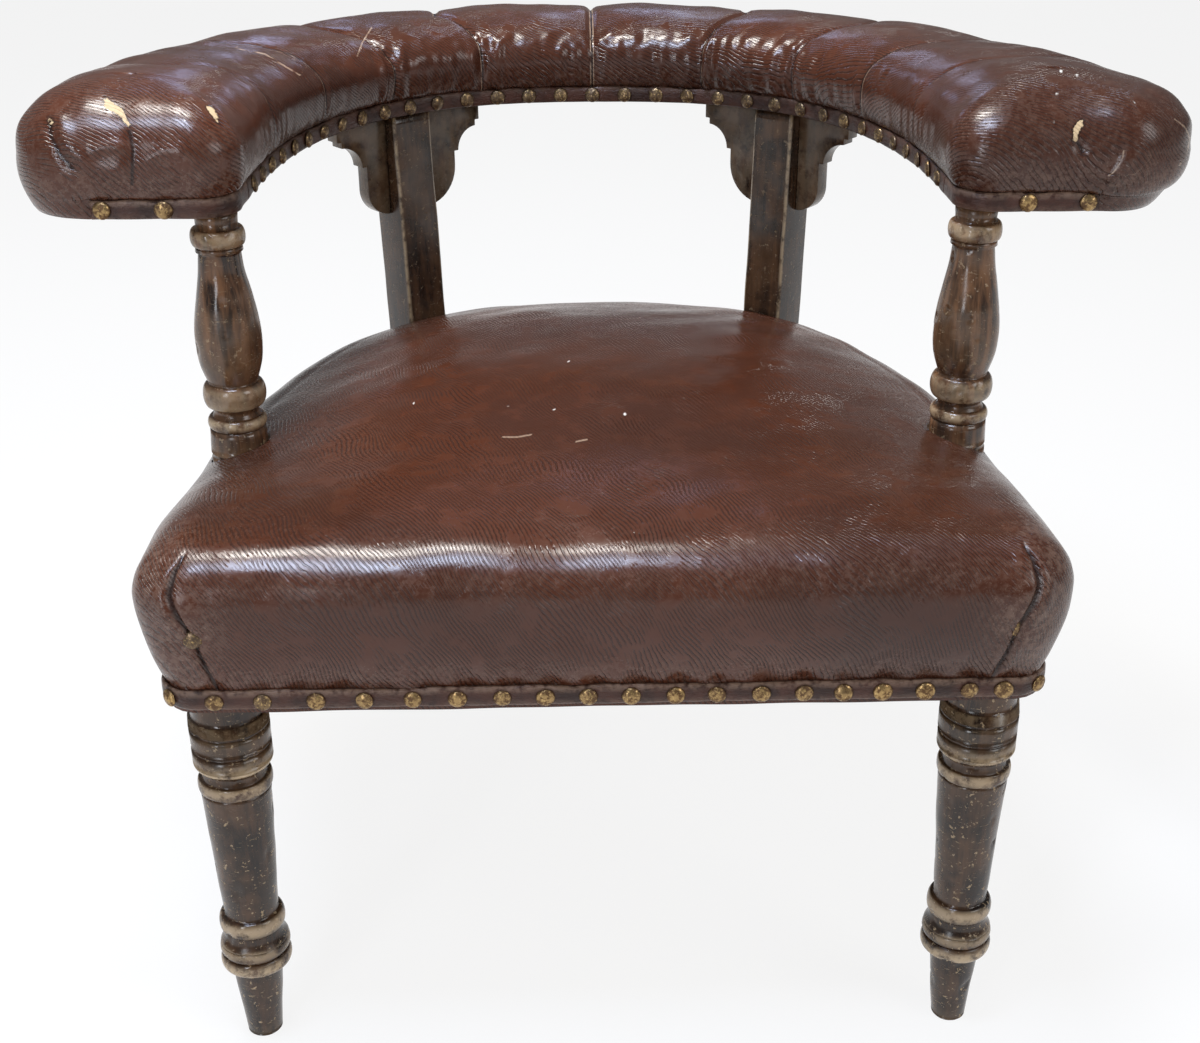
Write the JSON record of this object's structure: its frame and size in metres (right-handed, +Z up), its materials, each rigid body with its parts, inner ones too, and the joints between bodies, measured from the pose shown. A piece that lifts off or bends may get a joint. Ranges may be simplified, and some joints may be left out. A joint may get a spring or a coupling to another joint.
{
  "type": "club chair",
  "caption": "Worn low club chair: a pleated leather arm roll bent round three sides on turned spindles and square posts over a stuffed leather seat on turned legs.",
  "frame": {"origin": "on the floor, under the middle of the whole chair's bounding box", "axes": "+X to the right seen from the front, -Y the way the sitter faces, +Z up"},
  "size_m": [0.7584, 0.6734, 0.6196],
  "materials": {
    "stained_wood": "worn dark stain",
    "frame_wood": "bare",
    "leather": "worn gloss",
    "band_leather": "worn",
    "stuffing": "matted hair",
    "canvas": "plain weave",
    "webbing": "plain weave",
    "spring_steel": "coppered"
  },
  "bodies": {
    "root": {"left_front_leg": "stained_wood", "right_front_leg": "stained_wood", "left_arm_spindle": "stained_wood", "right_arm_spindle": "stained_wood", "left_rear_post": "stained_wood", "right_rear_post": "stained_wood", "left_back_ear": "stained_wood", "right_back_ear": "stained_wood", "left_side_ear": "stained_wood", "right_side_ear": "stained_wood", "front_seat_rail": "frame_wood", "back_seat_rail": "frame_wood", "left_seat_rail": "frame_wood", "right_seat_rail": "frame_wood", "left_arm_rail": "frame_wood", "back_arm_rail": "frame_wood", "right_arm_rail": "frame_wood", "left_corner_block": "frame_wood", "right_corner_block": "frame_wood", "seat_cover": "leather", "arm_cover": "leather", "seat_front_band": "band_leather", "seat_left_band": "band_leather", "seat_right_band": "band_leather", "seat_back_band": "band_leather", "arm_inner_band": "band_leather", "arm_outer_band": "band_leather", "arm_left_band": "band_leather", "arm_right_band": "band_leather", "seat_stuffing": "stuffing", "arm_stuffing": "stuffing", "seat_canvas": "canvas", "seat_webbing": "webbing", "centre_spring": "spring_steel", "front_left_spring": "spring_steel", "front_right_spring": "spring_steel", "back_left_spring": "spring_steel", "back_right_spring": "spring_steel"}
  },
  "joints": []
}
